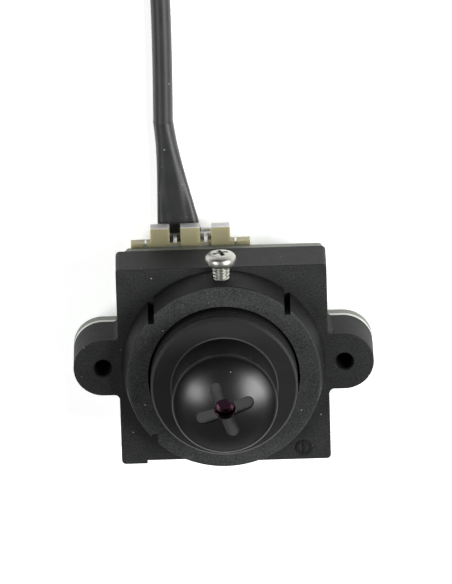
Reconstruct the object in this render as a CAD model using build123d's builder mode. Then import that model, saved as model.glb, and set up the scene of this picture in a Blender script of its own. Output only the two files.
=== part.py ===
from build123d import *
import os
from math import pi, radians, tan

# A miniature board camera whose pinhole lens is disguised as a cross-head screw.
# It lies on its back: +Z is the lens axis, X runs through the two mounting ears, and +Y points
# to the plug and its cable. The origin is on the lens axis, level with the front of the ears.
# All sizes are in millimetres.

os.makedirs("parts", exist_ok=True)

# ---- Driving sizes ----

# False screw head and the lens inside it
head_radius = 6.1
head_height = 5.0
dome_height = 2.2
dome_edge_radius = 0.8
cross_arm_width = 1.55
cross_radius = 3.5
cross_depth = 0.8
cross_angle = 19.0
pinhole_radius = 1.25
pinhole_length = 1.0
head_wall = 1.8
front_lens_radius = 1.85
front_lens_thickness = 1.1
spigot_radius = 5.2
spigot_length = 3.0
cell_wall = 1.0
cell_web = 0.7
cell_length = 6.6
stop_thickness = 0.3
stop_hole_radius = 0.7
middle_lens_thickness = 2.1
lens_crown = 0.45
ring_nut_thickness = 0.7
ring_nut_wall = 0.9
optics_gap = 0.05

# Focus ring: a drum in the holder's counterbore, with a threaded tail below it
ring_radius = 8.5
ring_proud = 3.1
ring_gap = 0.3
ring_lift = 0.4
ring_edge_chamfer = 0.25
ring_groove_width = 0.35
ring_groove_depth = 0.25
ring_groove_pitch = 0.95
tail_radius = 6.0
thread_clearance = 0.05
tail_bore_wall = 1.7
tail_clearance = 0.8
rear_lens_thickness = 1.8
throat_step = 0.7

# Lens holder: a square block with two ears and a conical boss
holder_depth = 5.9
holder_corner = 0.5
holder_edge_fillet = 0.15
boss_height = 3.7
boss_wall = 2.45
boss_draft = 0.6
boss_edge_gap = 0.35
boss_edge_fillet = 0.25
counterbore_depth = 3.2
ear_reach = 1.8
ear_radius = 3.45
ear_root_fillet = 0.6
ear_hole_radius = 1.0
ear_hole_depth = 3.7
ear_hole_chamfer = 0.17
rim_slot_width = 0.7
rim_slot_reach = 0.8
rim_slot_angles = (48.0, 137.0, 223.0)
edge_notch_inset = 3.0
edge_notch_length = 10.4
edge_notch_depth = 0.45
mark_inset_x = 3.1
mark_inset_y = 1.5
mark_radius = 0.95
mark_line = 0.26
mark_height = 0.15

# Clamp screw, radial in the boss
clamp_height = 1.3
clamp_radius = 1.0
clamp_clearance = 0.03
clamp_tip_gap = 0.05
clamp_stand_off = 1.55
clamp_head_radius = 1.8
clamp_head_height = 1.4

# Image sensor, its filter and the seals
cavity_side = 15.2
cavity_depth = 2.4
cavity_corner = 1.0
shelf_thickness = 0.8
light_opening_radius = 3.8
filter_margin = 0.4
filter_thickness = 0.5
sensor_side = 10.0
sensor_thickness = 1.3
sensor_wall = 1.1
sensor_floor = 0.45
die_margin = 0.5
die_thickness = 0.3
glass_step = 0.5
glass_thickness = 0.5
foam_side = 14.0
foam_wall = 1.4
foam_gap = 0.1
seat_gap = 0.02
match = 0.0001

# Board stack
shim_thickness = 0.5
board_thickness = 1.2
board_inset = 0.3
board_corner_cut = 0.8
board_hole_radius = 1.25
board_screw_radius = 0.85
board_screw_clearance = 0.03
board_screw_grip = 2.1
board_screw_head_radius = 1.7
board_screw_head_height = 1.2

# Header on the back of the board, mouth towards +Y
header_x = -3.45
header_width = 9.3
header_height = 3.8
header_length = 6.2
header_overhang = 2.35
header_board_wall = 1.5
header_mouth_step = 1.7
header_wall = 0.5
header_back_wall = 1.6
flange_reach = 2.3
flange_overhang = 0.55
flange_length = 3.7
flange_depth = 1.3
nail_thickness = 0.2
nail_offset = 0.6
nail_depth = 1.0
nail_foot = 1.3
key_slot_offset = 1.78
key_slot_width = 1.3
key_slot_depth = 1.9
key_recess_depth = 0.3
key_recess_length = 1.0
contact_pitch = 1.25
contact_count = 6
pin_width = 0.35
pin_foot = 0.9
pin_reach = 2.9

# Plug, the same at both ends of the cable
plug_clearance = 0.05
plug_recess = 1.3
plug_rib_width = 0.4
plug_cavity = 0.95
plug_front_wall = 0.4
terminal_width = 0.85
terminal_bore = 0.45
terminal_length = 2.4
wire_count = 4
wire_radius = 0.38
wire_reach = 0.85

# Cable and its heat-shrink boot
boot_width = 5.1
boot_thickness = 1.5
boot_wall = 0.25
boot_waists = ((0.3, 4.05, 1.6), (0.62, 2.95, 2.0))
boot_pocket = 1.0
far_boot_waist = (0.55, 3.6, 1.8)
cable_diameter = 2.3
coil_turn_radius = 13.05
coil_clearance = 0.05
tie_thickness = 0.3
tie_width = 2.5
tie_head_length = 3.4
tie_head_height = 1.8
tail_boot_length = 2.6
lead_points = ((-6.2, 26.5, 0.0), (-6.0, 35.5, 0.0), (-6.15, 47.1, 0.08), (-6.5, 58.6, 0.3))
tail_points = ((0.0, 2.6, 0.0), (-0.1, 6.0, 0.0), (-0.5, 9.4, -1.3), (-0.8, 12.7, -2.4), (-0.85, 15.7, -2.55))

# Parts on the back of the board
chip_side = 7.0
chip_thickness = 1.0
chip_lift = 0.1
chip_pins_per_side = 10
chip_pin_pitch = 0.65
chip_pin_width = 0.28
chip_pin_reach = 1.0
chip_pin_thickness = 0.15
capacitor_radius = 2.0
capacitor_base_side = 4.3
capacitor_base_height = 0.8
capacitor_inset = 3.0
crystal_length = 5.0
crystal_width = 3.2
crystal_height = 1.1
inductor_side = 4.0
inductor_height = 1.9
regulator_length = 3.0
regulator_width = 1.7
regulator_height = 1.1
diode_length = 3.4
diode_width = 2.0
diode_height = 1.5
small_part_length = 1.0
small_part_width = 0.55
capacitor_height = 0.45
resistor_height = 0.32
fine_edge = 0.05
moulded_edge = 0.12
ferrite_edge = 0.4

# ---- Sizes and levels that follow ----

ring_face = boss_height + ring_proud
head_edge = ring_face + head_height
head_top = head_edge + dome_height
dome_radius = (head_radius**2 + dome_height**2) / (2 * dome_height)
cross_floor = head_top - cross_depth
lens_pocket_top = cross_floor - pinhole_length
cell_top = lens_pocket_top - front_lens_thickness - 2 * optics_gap
cell_radius = head_radius - head_wall
cell_bottom = cell_top - cell_length
spigot_end = ring_face - spigot_length
counterbore_radius = ring_radius + ring_gap
counterbore_floor = boss_height - counterbore_depth
ring_under = counterbore_floor + ring_lift
boss_top_radius = counterbore_radius + boss_wall
boss_base_radius = boss_top_radius + boss_draft
holder_side = 2 * (boss_base_radius + boss_edge_gap)
half_side = holder_side / 2
ear_x = half_side + ear_reach
shelf_back = cavity_depth - holder_depth
shelf_front = shelf_back + shelf_thickness
tail_end = shelf_front + tail_clearance
tail_bore_radius = tail_radius - tail_bore_wall
thread_bore_radius = tail_radius + thread_clearance
rear_lens_bottom = tail_end + ring_nut_thickness + optics_gap
throat_bottom = rear_lens_bottom + rear_lens_thickness + optics_gap
board_front = -holder_depth - shim_thickness
board_back = board_front - board_thickness
board_edge = half_side - board_inset
surface = board_back - header_height
mouth_y = board_edge + header_overhang
header_back_y = mouth_y - header_length
flange_front_y = board_edge + flange_overhang
flange_back_y = flange_front_y - flange_length
cavity_top = board_back - header_board_wall
cavity_bottom = surface + header_wall
contact_z = (cavity_top + cavity_bottom) / 2
plug_rear_y = mouth_y - plug_recess
plug_width = header_width - 2 * (header_wall + plug_clearance)
plug_thickness = cavity_top - cavity_bottom - 2 * plug_clearance
pin_opening = pin_width + 2 * plug_clearance
cavity_back_y = header_back_y + header_back_wall
plug_length = plug_rear_y - cavity_back_y - plug_clearance
contact_offsets = [(i - (contact_count - 1) / 2) * contact_pitch for i in range(contact_count)]
wire_offsets = contact_offsets[-wire_count:]
wire_middle = sum(wire_offsets) / wire_count
clamp_seat_y = boss_top_radius + boss_draft * (1 - clamp_height / boss_height)
clamp_head_y = clamp_seat_y + clamp_stand_off
cable_radius = cable_diameter / 2
cable_z = surface + cable_radius + 0.02
coil_z = surface + tie_thickness + coil_clearance + cable_radius
radial = Plane(origin=(0, 0, clamp_height), x_dir=(1, 0, 0), z_dir=(0, 1, 0))


def finish(piece, name):
    """Name a finished piece and write it."""
    piece.label = name
    export_step(piece, f"parts/{name}.step")


# ---- Lens holder: moulded block, ears, boss and bores ----

with BuildPart() as lens_holder:
    with BuildSketch() as outline:
        RectangleRounded(holder_side, holder_side, holder_corner)
        SlotOverall(2 * (ear_x + ear_radius), 2 * ear_radius)
        sides = [v for v in outline.vertices() if abs(abs(v.X) - half_side) < match]
        roots = [v for v in sides if abs(v.Y) < half_side / 2]
        fillet(roots, radius=ear_root_fillet)
    extrude(amount=-holder_depth)
    fillet(lens_holder.faces().sort_by(Axis.Z)[-1].outer_wire().edges(), radius=holder_edge_fillet)
    Cone(boss_base_radius, boss_top_radius, boss_height, align=(Align.CENTER, Align.CENTER, Align.MIN))
    fillet(lens_holder.faces().sort_by(Axis.Z)[-1].edges(), radius=boss_edge_fillet)
    # counterbore for the focus ring, threaded bore, light opening and sensor cavity
    with BuildSketch(Plane.XY.offset(counterbore_floor)):
        Circle(counterbore_radius)
    extrude(amount=boss_height, mode=Mode.SUBTRACT)
    with BuildSketch(Plane.XY.offset(shelf_front)):
        Circle(thread_bore_radius)
    extrude(amount=boss_height, mode=Mode.SUBTRACT)
    with BuildSketch(Plane.XY.offset(-holder_depth)):
        Circle(light_opening_radius)
    extrude(amount=holder_depth, mode=Mode.SUBTRACT)
    with BuildSketch(Plane.XY.offset(-holder_depth)):
        RectangleRounded(cavity_side, cavity_side, cavity_corner)
    extrude(amount=cavity_depth, mode=Mode.SUBTRACT)
    # slots down the boss's flank, square to the block
    for angle in rim_slot_angles:
        rim_point = Vector(boss_top_radius, 0).rotate(Axis.Z, angle)
        outward = rim_slot_reach if rim_point.Y > 0 else -rim_slot_reach
        with BuildSketch(Plane.XY.offset(boss_height)):
            with Locations((rim_point.X, rim_point.Y + outward / 2)):
                Rectangle(rim_slot_width, 3 * rim_slot_reach)
        extrude(amount=-boss_height, mode=Mode.SUBTRACT)
    # ear holes: open at the front, narrower at the back for the board's screws
    with BuildSketch():
        with Locations((ear_x, 0), (-ear_x, 0)):
            Circle(ear_hole_radius)
    extrude(amount=-ear_hole_depth, mode=Mode.SUBTRACT)
    with BuildSketch():
        with Locations((ear_x, 0), (-ear_x, 0)):
            Circle(board_screw_radius + board_screw_clearance)
    extrude(amount=-holder_depth, mode=Mode.SUBTRACT)
    front_rounds = lens_holder.edges().filter_by(GeomType.CIRCLE).filter_by_position(Axis.Z, -match, match)
    ear_rounds = [e for e in front_rounds if abs(abs(e.arc_center.X) - ear_x) < match]
    rims = [e for e in ear_rounds if e.radius < ear_radius - match]
    chamfer(rims, length=ear_hole_chamfer)
    # tapped hole for the clamp screw
    with BuildSketch(radial.offset(ring_radius)):
        Circle(clamp_radius + clamp_clearance)
    extrude(amount=boss_wall + boss_draft + ring_gap, mode=Mode.SUBTRACT)
    # shallow relief in the bottom edge
    with BuildSketch(Plane.XY.offset(-holder_depth)):
        with Locations((edge_notch_inset - half_side, -half_side)):
            Rectangle(edge_notch_length, 2 * edge_notch_depth, align=(Align.MIN, Align.CENTER))
    extrude(amount=holder_depth, mode=Mode.SUBTRACT)
    # raised mould mark in the bottom right corner
    with BuildSketch():
        with Locations((half_side - mark_inset_x, mark_inset_y - half_side)):
            Circle(mark_radius)
            Circle(mark_radius - mark_line, mode=Mode.SUBTRACT)
            Rectangle(mark_line, 2 * (mark_radius - mark_line / 2))
    extrude(amount=mark_height)
finish(lens_holder.part, "lens_holder")

# ---- Lens: focus ring, false screw head and the optics inside them ----

with BuildPart() as focus_ring:
    with BuildSketch(Plane.XY.offset(ring_under)):
        Circle(ring_radius)
    extrude(amount=ring_face - ring_under)
    chamfer(focus_ring.edges().group_by(Axis.Z)[-1], length=ring_edge_chamfer)
    with BuildSketch(Plane.XY.offset(tail_end)):
        Circle(tail_radius)
    extrude(amount=ring_under - tail_end)
    for row in (1, 2):
        with BuildSketch(Plane.XY.offset(ring_face - row * ring_groove_pitch)):
            Circle(ring_radius + ring_gap)
            Circle(ring_radius - ring_groove_depth, mode=Mode.SUBTRACT)
        extrude(amount=-ring_groove_width, mode=Mode.SUBTRACT)
    with BuildSketch(Plane.XY.offset(spigot_end - optics_gap)):
        Circle(spigot_radius + seat_gap)
    extrude(amount=2 * spigot_length, mode=Mode.SUBTRACT)
    with BuildSketch(Plane.XY.offset(throat_bottom)):
        Circle(tail_bore_radius - throat_step)
    extrude(amount=spigot_end - throat_bottom, mode=Mode.SUBTRACT)
    with BuildSketch(Plane.XY.offset(tail_end)):
        Circle(tail_bore_radius)
    extrude(amount=throat_bottom - tail_end, mode=Mode.SUBTRACT)
finish(focus_ring.part, "focus_ring")

with BuildPart() as screw_head_cap:
    with BuildSketch(Plane.XZ):
        with BuildLine():
            Line((0, spigot_end), (spigot_radius, spigot_end))
            Line((spigot_radius, spigot_end), (spigot_radius, ring_face))
            Line((spigot_radius, ring_face), (head_radius, ring_face))
            Line((head_radius, ring_face), (head_radius, head_edge))
            RadiusArc((head_radius, head_edge), (0, head_top), -dome_radius)
            Line((0, head_top), (0, spigot_end))
        make_face()
    revolve(axis=Axis.Z)
    rounds = screw_head_cap.edges().filter_by(GeomType.CIRCLE)
    dome_rim = [e for e in rounds if abs(e.center().Z - head_edge) < match]
    fillet(dome_rim, radius=dome_edge_radius)
    # cross recess, pinhole, lens pocket and cell bore
    with BuildSketch(Plane.XY.offset(cross_floor)):
        SlotOverall(2 * cross_radius, cross_arm_width, rotation=cross_angle)
        SlotOverall(2 * cross_radius, cross_arm_width, rotation=cross_angle + 90)
        Circle(pinhole_radius)
    extrude(amount=2 * cross_depth, mode=Mode.SUBTRACT)
    with BuildSketch(Plane.XY.offset(lens_pocket_top)):
        Circle(pinhole_radius)
    extrude(amount=pinhole_length, mode=Mode.SUBTRACT)
    with BuildSketch(Plane.XY.offset(cell_top)):
        Circle(front_lens_radius + optics_gap)
    extrude(amount=lens_pocket_top - cell_top, mode=Mode.SUBTRACT)
    with BuildSketch(Plane.XY.offset(spigot_end)):
        Circle(cell_radius + seat_gap)
    extrude(amount=cell_top - spigot_end, mode=Mode.SUBTRACT)
finish(screw_head_cap.part, "screw_head_cap")

with BuildPart() as front_lens:
    with BuildSketch(Plane.XZ):
        with BuildLine():
            front_bottom = cell_top + optics_gap
            front_edge = front_bottom + front_lens_thickness - lens_crown
            Line((0, front_bottom), (front_lens_radius, front_bottom))
            Line((front_lens_radius, front_bottom), (front_lens_radius, front_edge))
            RadiusArc((front_lens_radius, front_edge), (0, front_bottom + front_lens_thickness),
                      -(front_lens_radius**2 + lens_crown**2) / (2 * lens_crown))
            Line((0, front_bottom + front_lens_thickness), (0, front_bottom))
        make_face()
    revolve(axis=Axis.Z)
finish(front_lens.part, "front_lens")

cell_bore = cell_radius - cell_wall
with BuildPart() as lens_cell:
    with BuildSketch(Plane.XY.offset(cell_bottom)):
        Circle(cell_radius)
        Circle(cell_bore, mode=Mode.SUBTRACT)
    extrude(amount=cell_length - seat_gap)
    with BuildSketch(Plane.XY.offset(cell_top - seat_gap - cell_web)):
        Circle(cell_bore)
        Circle(pinhole_radius, mode=Mode.SUBTRACT)
    extrude(amount=cell_web)
finish(lens_cell.part, "lens_cell")

stop_front = cell_top - seat_gap - cell_web - optics_gap
with BuildPart() as aperture_stop:
    with BuildSketch(Plane.XY.offset(stop_front)):
        Circle(cell_bore - optics_gap)
        Circle(stop_hole_radius, mode=Mode.SUBTRACT)
    extrude(amount=-stop_thickness)
finish(aperture_stop.part, "aperture_stop")


def round_lens(radius, bottom, thickness):
    """A lens with two crowned faces, its lowest point at bottom."""
    curve = (radius**2 + lens_crown**2) / (2 * lens_crown)
    low, high = bottom + lens_crown, bottom + thickness - lens_crown
    with BuildPart() as lens:
        with BuildSketch(Plane.XZ):
            with BuildLine():
                RadiusArc((0, bottom), (radius, low), -curve)
                Line((radius, low), (radius, high))
                RadiusArc((radius, high), (0, high + lens_crown), -curve)
                Line((0, high + lens_crown), (0, bottom))
            make_face()
        revolve(axis=Axis.Z)
    return lens.part


def ring_nut(radius, bottom):
    """A thin threaded ring that holds a lens in its bore."""
    with BuildPart() as nut:
        with BuildSketch(Plane.XY.offset(bottom)):
            Circle(radius - optics_gap)
            Circle(radius - ring_nut_wall, mode=Mode.SUBTRACT)
        extrude(amount=ring_nut_thickness)
        with BuildSketch(Plane.XY.offset(bottom)):
            Rectangle(2 * radius, ring_nut_wall / 2)
        extrude(amount=ring_nut_thickness / 2, mode=Mode.SUBTRACT)
    return nut.part


middle_bottom = stop_front - stop_thickness - optics_gap - middle_lens_thickness
finish(round_lens(cell_bore - optics_gap, middle_bottom, middle_lens_thickness), "middle_lens")
finish(ring_nut(cell_bore, middle_bottom - optics_gap - ring_nut_thickness), "cell_ring_nut")
finish(round_lens(tail_bore_radius - optics_gap, rear_lens_bottom, rear_lens_thickness), "rear_lens")
finish(ring_nut(tail_bore_radius, tail_end), "tail_ring_nut")

# ---- Clamp screw: small pan head, cross recess ----

with BuildPart() as clamp_screw:
    with BuildSketch(radial.offset(ring_radius + clamp_tip_gap)):
        Circle(clamp_radius)
    extrude(amount=clamp_head_y - ring_radius - clamp_tip_gap)
    with BuildSketch(radial.offset(clamp_head_y)):
        Circle(clamp_head_radius)
    extrude(amount=clamp_head_height)
    fillet(clamp_screw.edges().sort_by(Axis.Y)[-1], radius=clamp_head_height / 2)
    with BuildSketch(radial.offset(clamp_head_y + clamp_head_height)):
        Rectangle(clamp_head_radius, clamp_radius / 3)
        Rectangle(clamp_radius / 3, clamp_head_radius)
    extrude(amount=-clamp_head_height / 2, mode=Mode.SUBTRACT)
finish(clamp_screw.part, "clamp_screw")

# ---- Image sensor, filter and seals ----

with BuildPart() as infrared_filter:
    with BuildSketch(Plane.XY.offset(shelf_back - seat_gap)):
        Rectangle(2 * (light_opening_radius + filter_margin), 2 * (light_opening_radius + filter_margin))
    extrude(amount=-filter_thickness)
finish(infrared_filter.part, "infrared_filter")

with BuildPart() as sensor_package:
    with BuildSketch(Plane.XY.offset(board_front)):
        Rectangle(sensor_side, sensor_side)
    extrude(amount=sensor_thickness)
    with BuildSketch(Plane.XY.offset(board_front + sensor_floor)):
        Rectangle(sensor_side - 2 * sensor_wall, sensor_side - 2 * sensor_wall)
    extrude(amount=sensor_thickness, mode=Mode.SUBTRACT)
    with BuildSketch(Plane.XY.offset(board_front + sensor_thickness - glass_thickness)):
        Rectangle(sensor_side - 2 * (sensor_wall - glass_step), sensor_side - 2 * (sensor_wall - glass_step))
    extrude(amount=sensor_thickness, mode=Mode.SUBTRACT)
finish(sensor_package.part, "sensor_package")

with BuildPart() as sensor_die:
    with BuildSketch(Plane.XY.offset(board_front + sensor_floor)):
        Rectangle(sensor_side - 2 * (sensor_wall + die_margin), sensor_side - 2 * (sensor_wall + die_margin))
    extrude(amount=die_thickness)
finish(sensor_die.part, "sensor_die")

glass_side = sensor_side - 2 * (sensor_wall - glass_step + seat_gap)
with BuildPart() as sensor_cover_glass:
    with BuildSketch(Plane.XY.offset(board_front + sensor_thickness - glass_thickness)):
        Rectangle(glass_side, glass_side)
    extrude(amount=glass_thickness)
finish(sensor_cover_glass.part, "sensor_cover_glass")

with BuildPart() as foam_light_seal:
    with BuildSketch(Plane.XY.offset(board_front)):
        Rectangle(foam_side, foam_side)
        Rectangle(foam_side - 2 * foam_wall, foam_side - 2 * foam_wall, mode=Mode.SUBTRACT)
    extrude(amount=shelf_back - board_front - foam_gap)
finish(foam_light_seal.part, "foam_light_seal")

# ---- Board stack: pale shim and circuit board, screwed to the ears from behind ----


def board_outline():
    """The board's outline, a little inside the holder's, with the same ears."""
    RectangleRounded(2 * board_edge, 2 * board_edge, holder_corner)
    SlotOverall(2 * (ear_x + ear_radius), 2 * ear_radius)
    with Locations((-board_edge, board_edge)):
        Rectangle(2 * board_corner_cut, 2 * board_corner_cut, rotation=45, mode=Mode.SUBTRACT)
    with Locations((ear_x, 0), (-ear_x, 0)):
        Circle(board_hole_radius, mode=Mode.SUBTRACT)


with BuildPart() as board_shim:
    with BuildSketch(Plane.XY.offset(board_front)):
        board_outline()
        Rectangle(foam_side + 2 * foam_gap, foam_side + 2 * foam_gap, mode=Mode.SUBTRACT)
    extrude(amount=shim_thickness)
finish(board_shim.part, "board_shim")

with BuildPart() as circuit_board:
    with BuildSketch(Plane.XY.offset(board_back)):
        board_outline()
    extrude(amount=board_thickness)
finish(circuit_board.part, "circuit_board")

with BuildPart() as board_screws:
    with BuildSketch(Plane.XY.offset(board_back)):
        with Locations((ear_x, 0), (-ear_x, 0)):
            Circle(board_screw_head_radius)
    extrude(amount=-board_screw_head_height)
    fillet(board_screws.edges().group_by(Axis.Z)[0], radius=board_screw_head_height / 2)
    with BuildSketch(Plane.XY.offset(board_back)):
        with Locations((ear_x, 0), (-ear_x, 0)):
            Circle(board_screw_radius)
    extrude(amount=board_thickness + shim_thickness + board_screw_grip)
    with BuildSketch(Plane.XY.offset(board_back - board_screw_head_height)):
        with Locations((ear_x, 0), (-ear_x, 0)):
            Rectangle(board_screw_head_radius, board_screw_radius / 2)
            Rectangle(board_screw_radius / 2, board_screw_head_radius)
    extrude(amount=board_screw_head_height / 2, mode=Mode.SUBTRACT)
finish(board_screws.part, "board_screws")

# ---- Header on the back of the board ----

with BuildPart() as header_housing:
    with BuildSketch(Plane.XY.offset(board_back)):
        with Locations((header_x, mouth_y)):
            Rectangle(header_width, header_length, align=(Align.CENTER, Align.MAX))
    extrude(amount=-header_height)
    with BuildSketch(Plane.XY.offset(board_back)):
        with Locations((header_x, flange_front_y)):
            Rectangle(header_width + 2 * flange_reach, flange_length, align=(Align.CENTER, Align.MAX))
    extrude(amount=-flange_depth)
    # only the wall next to the board reaches the full length of the mouth
    with BuildSketch(Plane.XY.offset(cavity_top)):
        with Locations((header_x, mouth_y)):
            Rectangle(header_width, header_mouth_step, align=(Align.CENTER, Align.MAX))
    extrude(amount=surface - cavity_top, mode=Mode.SUBTRACT)
    # cavity, key slots with the shallow recesses behind them, slits for the nails, holes for the pins
    with BuildSketch(Plane.XZ.offset(-mouth_y)):
        with Locations((header_x, contact_z)):
            Rectangle(header_width - 2 * header_wall, cavity_top - cavity_bottom)
    extrude(amount=mouth_y - cavity_back_y, mode=Mode.SUBTRACT)
    with BuildSketch(Plane.XY.offset(board_back)):
        for side in (-1, 1):
            with Locations((header_x + side * key_slot_offset, mouth_y)):
                Rectangle(key_slot_width, key_slot_depth, align=(Align.CENTER, Align.MAX))
    extrude(amount=-header_board_wall, mode=Mode.SUBTRACT)
    with BuildSketch(Plane.XY.offset(board_back)):
        for side in (-1, 1):
            with Locations((header_x + side * key_slot_offset, mouth_y - key_slot_depth)):
                Rectangle(key_slot_width, key_recess_length, align=(Align.CENTER, Align.MAX))
    extrude(amount=-key_recess_depth, mode=Mode.SUBTRACT)
    with BuildSketch(Plane.XY.offset(board_back)):
        for side in (-1, 1):
            with Locations((header_x + side * (header_width / 2 + nail_offset), flange_front_y)):
                Rectangle(nail_thickness + 2 * seat_gap, flange_length, align=(Align.CENTER, Align.MAX))
    extrude(amount=-nail_depth - seat_gap, mode=Mode.SUBTRACT)
    with BuildSketch(Plane.XZ.offset(-cavity_back_y)):
        for offset in contact_offsets:
            with Locations((header_x + offset, contact_z)):
                Rectangle(pin_width + 2 * seat_gap, pin_width + 2 * seat_gap)
    extrude(amount=header_back_wall, mode=Mode.SUBTRACT)
finish(header_housing.part, "header_housing")

with BuildPart() as header_pins:
    high, low = contact_z + pin_width / 2, contact_z - pin_width / 2
    tip_y, heel_y = cavity_back_y + pin_reach, header_back_y - 2 * pin_width
    with BuildSketch(Plane.YZ.offset(header_x - pin_width / 2)):
        with BuildLine():
            Polyline(
                (tip_y, low), (tip_y, high), (heel_y + pin_width, high), (heel_y + pin_width, board_back),
                (heel_y - pin_foot, board_back), (heel_y - pin_foot, board_back - pin_width / 2),
                (heel_y, board_back - pin_width / 2), (heel_y, low), close=True,
            )
        make_face()
    pin = extrude(amount=pin_width, mode=Mode.PRIVATE)
    with Locations(*[(offset, 0, 0) for offset in contact_offsets]):
        add(pin)
finish(header_pins.part, "header_pins")

with BuildPart() as fitting_nails:
    for side in (-1, 1):
        nail_x = header_x + side * (header_width / 2 + nail_offset)
        with BuildSketch(Plane.XY.offset(board_back)):
            with Locations((nail_x, flange_front_y)):
                Rectangle(nail_thickness, flange_length + nail_foot, align=(Align.CENTER, Align.MAX))
        extrude(amount=-nail_depth)
        with BuildSketch(Plane.XY.offset(board_back)):
            with Locations((nail_x - side * nail_thickness / 2, flange_back_y - seat_gap)):
                foot_align = Align.MIN if side > 0 else Align.MAX
                Rectangle(nail_foot, nail_foot - seat_gap, align=(foot_align, Align.MAX))
        extrude(amount=-nail_thickness)
finish(fitting_nails.part, "fitting_nails")

# ---- Plug: the same housing, contacts and wires at both ends of the cable ----
# A plug's own plane has its origin in the middle of the wire side, z pointing along the wires.


def plug_housing(plane):
    """Housing with a cavity for each contact and two key ribs towards local +y."""
    with BuildPart() as housing:
        with BuildSketch(plane):
            Rectangle(plug_width, plug_thickness)
            for offset in contact_offsets:
                with Locations((offset, 0)):
                    Rectangle(plug_cavity, plug_cavity, mode=Mode.SUBTRACT)
        extrude(amount=-plug_length)
        with BuildSketch(plane.offset(plug_front_wall - plug_length)):
            Rectangle(plug_width - plug_cavity, plug_thickness - 2 * plug_clearance)
            for offset in contact_offsets:
                with Locations((offset, 0)):
                    Rectangle(pin_opening, pin_opening, mode=Mode.SUBTRACT)
        extrude(amount=-plug_front_wall)
        rib = key_slot_depth - plug_recess - plug_clearance
        with BuildSketch(plane):
            for side in (-1, 1):
                with Locations((side * key_slot_offset, plug_thickness / 2)):
                    Rectangle(plug_rib_width, header_board_wall, align=(Align.CENTER, Align.MIN))
        extrude(amount=-rib)
    return housing.part


def crimp_terminals(plane):
    """One box terminal for each wire, closed round the pin that enters it."""
    with BuildPart() as terminals:
        with BuildSketch(plane.offset(plug_front_wall + plug_clearance - plug_length)):
            for offset in wire_offsets:
                with Locations((offset, 0)):
                    Rectangle(terminal_width, terminal_width)
                    Rectangle(terminal_bore, terminal_bore, mode=Mode.SUBTRACT)
        extrude(amount=terminal_length)
    return terminals.part


def plug_wires(plane, reach):
    """The insulated wire ends, from the terminals to a little outside the plug."""
    start = plug_front_wall + plug_clearance - plug_length + terminal_length + seat_gap
    with BuildPart() as wires:
        with BuildSketch(plane.offset(start)):
            for offset in wire_offsets:
                with Locations((offset, 0)):
                    Circle(wire_radius)
        extrude(amount=reach - start)
    return wires.part


def heat_shrink(start, end, sections):
    """A flattened sleeve that closes to round between two planes; sections are share, width, thickness."""
    with BuildPart() as sleeve:
        with BuildSketch(start):
            SlotOverall(boot_width, boot_thickness)
        for share, width, thickness in sections:
            middle = start.origin + (end.origin - start.origin) * share
            with BuildSketch(Plane(origin=middle, x_dir=start.x_dir, z_dir=start.z_dir)):
                SlotOverall(width, thickness)
        with BuildSketch(end):
            SlotOverall(cable_diameter + seat_gap, cable_diameter)
        loft()
        with BuildSketch(start):
            SlotOverall(boot_width - 2 * boot_wall, boot_thickness - 2 * boot_wall)
        extrude(amount=boot_pocket, mode=Mode.SUBTRACT)
    return sleeve.part


def cord_tube(points):
    """A round tube along straight runs joined by tangent arcs, each as large as its runs allow."""
    corners = [Vector(*p) for p in points]
    runs = [b - a for a, b in zip(corners, corners[1:])]
    turns = [radians(a.get_angle(b)) for a, b in zip(runs, runs[1:])]
    radii = [0.45 * min(a.length, b.length) / tan(t / 2) for a, b, t in zip(runs, runs[1:], turns)]
    with BuildPart() as tube:
        with BuildLine() as path:
            FilletPolyline(*corners, radius=radii)
        with BuildSketch(Plane(origin=corners[0], z_dir=runs[0])):
            Circle(cable_radius)
        sweep()
    length = sum(edge.length for edge in path.edges())
    print("radii", [round(r, 1) for r in radii], "length", round(length, 2),
          "volume", round(tube.part.volume, 2), "expected", round(pi * cable_radius**2 * length, 2))
    return tube.part, runs


# near end, in the header
near_plug = Plane(origin=(header_x, plug_rear_y, contact_z), x_dir=(-1, 0, 0), z_dir=(0, 1, 0))
finish(plug_housing(near_plug), "plug_housing")
finish(crimp_terminals(near_plug), "crimp_terminals")
finish(plug_wires(near_plug, wire_reach), "plug_wires")

# lead from the boot to the coil, lying on the surface
lead = [(x, y, cable_z + rise) for x, y, rise in lead_points]
lead_tube, lead_runs = cord_tube(lead)
finish(lead_tube, "cable")
boot_start = Plane(
    origin=near_plug.origin + near_plug.x_dir * wire_middle + near_plug.z_dir * plug_clearance,
    x_dir=near_plug.x_dir, z_dir=near_plug.z_dir,
)
boot_end = Plane(origin=lead[0], x_dir=near_plug.x_dir, z_dir=lead_runs[0])
finish(heat_shrink(boot_start, boot_end, boot_waists), "heat_shrink_boot")

# the put-away coil: two turns on the surface and one on top, held by a tie
coil_x = lead[-1][0] + coil_turn_radius + cable_radius
coil_y = lead[-1][1]
coil_half_width = cable_diameter + coil_clearance
coil_bottom = coil_z - cable_radius - coil_clearance
coil_height = 2 * (cable_diameter + coil_clearance)
with BuildPart() as cable_coil:
    with BuildSketch(Plane(origin=(coil_x, coil_y, coil_bottom))):
        Circle(coil_turn_radius + coil_half_width)
        Circle(coil_turn_radius - coil_half_width, mode=Mode.SUBTRACT)
    extrude(amount=coil_height)
finish(cable_coil.part, "cable_coil")

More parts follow.
